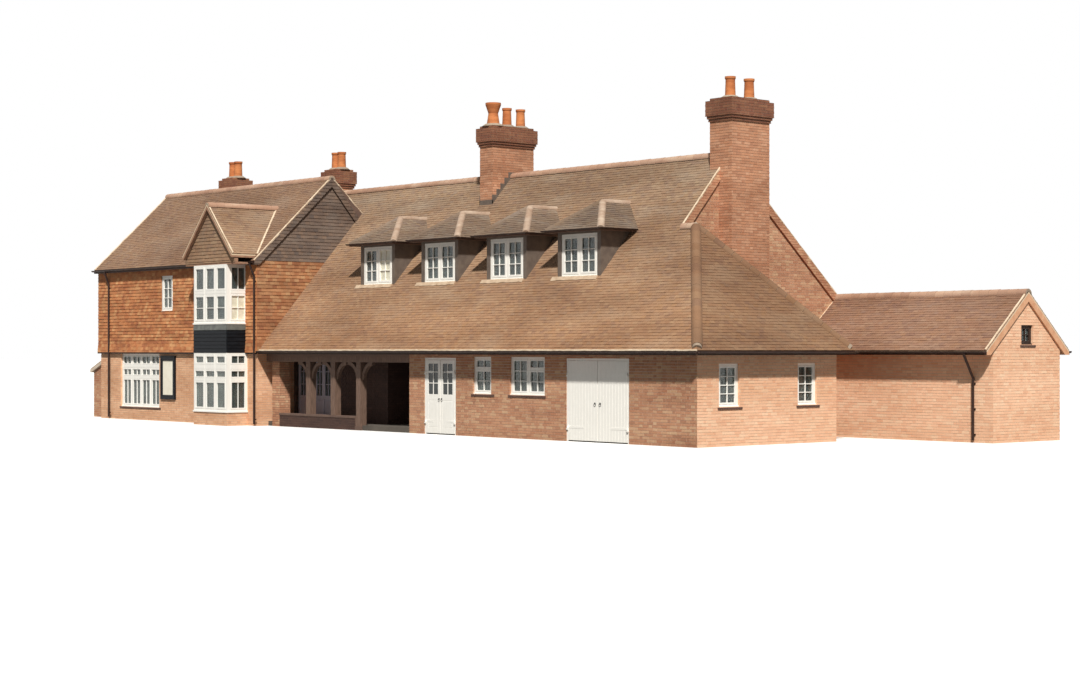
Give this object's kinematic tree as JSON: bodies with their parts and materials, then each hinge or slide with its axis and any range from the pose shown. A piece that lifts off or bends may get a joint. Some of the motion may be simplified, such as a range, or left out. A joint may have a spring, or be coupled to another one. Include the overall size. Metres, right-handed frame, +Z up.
{
  "type": "tile-hung village inn",
  "caption": "Long low brick inn under steep tiled roofs with hipped dormers, a tile-hung wing with a bay window, a posted porch, tall chimneys and paired doors on hinges.",
  "frame": {"origin": "on the ground under the middle of the main range, halfway between its gables and halfway between its front and rear walls", "axes": "+X to the right along the front as seen from outside, +Y from the front to the rear, +Z up"},
  "size_m": [34.46, 12.14, 10.02],
  "materials": {
    "stone_floor": "matt",
    "floor_timber": "matt",
    "brick": "matt",
    "stack_brick": "matt",
    "roof_tile": "weathered",
    "hung_tile": "matt",
    "ridge_tile": "matt",
    "terracotta": "matt",
    "white_joinery": "painted satin",
    "grey_joinery": "painted satin",
    "grey_cheek": "dull lead grey",
    "dark_boards": "painted satin",
    "pale_boards": "painted satin",
    "oak": "oiled",
    "window_glass": "polished",
    "dark_iron": "painted"
  },
  "bodies": {
    "building": {"ground_floor": "stone_floor", "upper_floors": "floor_timber", "front_wall": "brick", "door_lintels": "brick", "rear_wall": "brick", "gable_walls": "brick", "end_walls": "brick", "yard_walls": "brick", "main_roof_front": "roof_tile", "main_roof_rear": "roof_tile", "extension_roof": "roof_tile", "rear_range_roof": "roof_tile", "wing_front_wall": "brick", "wing_rear_wall": "brick", "wing_gable_walls": "brick", "wing_tile_hanging": "hung_tile", "wing_roof_front": "roof_tile", "wing_roof_rear": "roof_tile", "bay_plinth": "brick", "bay_panel": "dark_boards", "bay_windows": "white_joinery", "bay_roof": "roof_tile", "porch_walls": "brick", "porch_frame": "oak", "porch_dwarf_wall": "brick", "porch_screen": "grey_joinery", "entrance_door": "dark_boards", "dormer_walls": "grey_cheek", "dormer_roofs": "roof_tile", "upper_windows": "white_joinery", "ground_windows": "white_joinery", "window_glass": "window_glass", "door_frames": "white_joinery", "chimney_stacks": "stack_brick", "chimney_caps": "stack_brick", "chimney_pots": "terracotta", "ridge_and_hip_tiles": "ridge_tile", "fascia_boards": "pale_boards", "gutters_and_downpipes": "dark_iron", "notice_board": "dark_boards", "lean_to_store": "brick"},
    "garage_door_left": {"garage_door_left": "white_joinery"},
    "garage_door_right": {"garage_door_right": "white_joinery"},
    "side_door_left": {"side_door_left": "white_joinery"},
    "side_door_right": {"side_door_right": "white_joinery"}
  },
  "joints": [
    {"name": "garage_door_left_hinge", "type": "hinge", "parent": "building", "child": "garage_door_left", "pos_m": [7.913, -5.218, 0], "axis": [0, 0, -1], "range_deg": [0, 100]},
    {"name": "garage_door_right_hinge", "type": "hinge", "parent": "building", "child": "garage_door_right", "pos_m": [10.207, -5.218, 0], "axis": [0, 0, 1], "range_deg": [0, 100]},
    {"name": "side_door_left_hinge", "type": "hinge", "parent": "building", "child": "side_door_left", "pos_m": [1.763, -5.218, 0], "axis": [0, 0, -1], "range_deg": [0, 95]},
    {"name": "side_door_right_hinge", "type": "hinge", "parent": "building", "child": "side_door_right", "pos_m": [3.087, -5.218, 0], "axis": [0, 0, 1], "range_deg": [0, 95]}
  ]
}
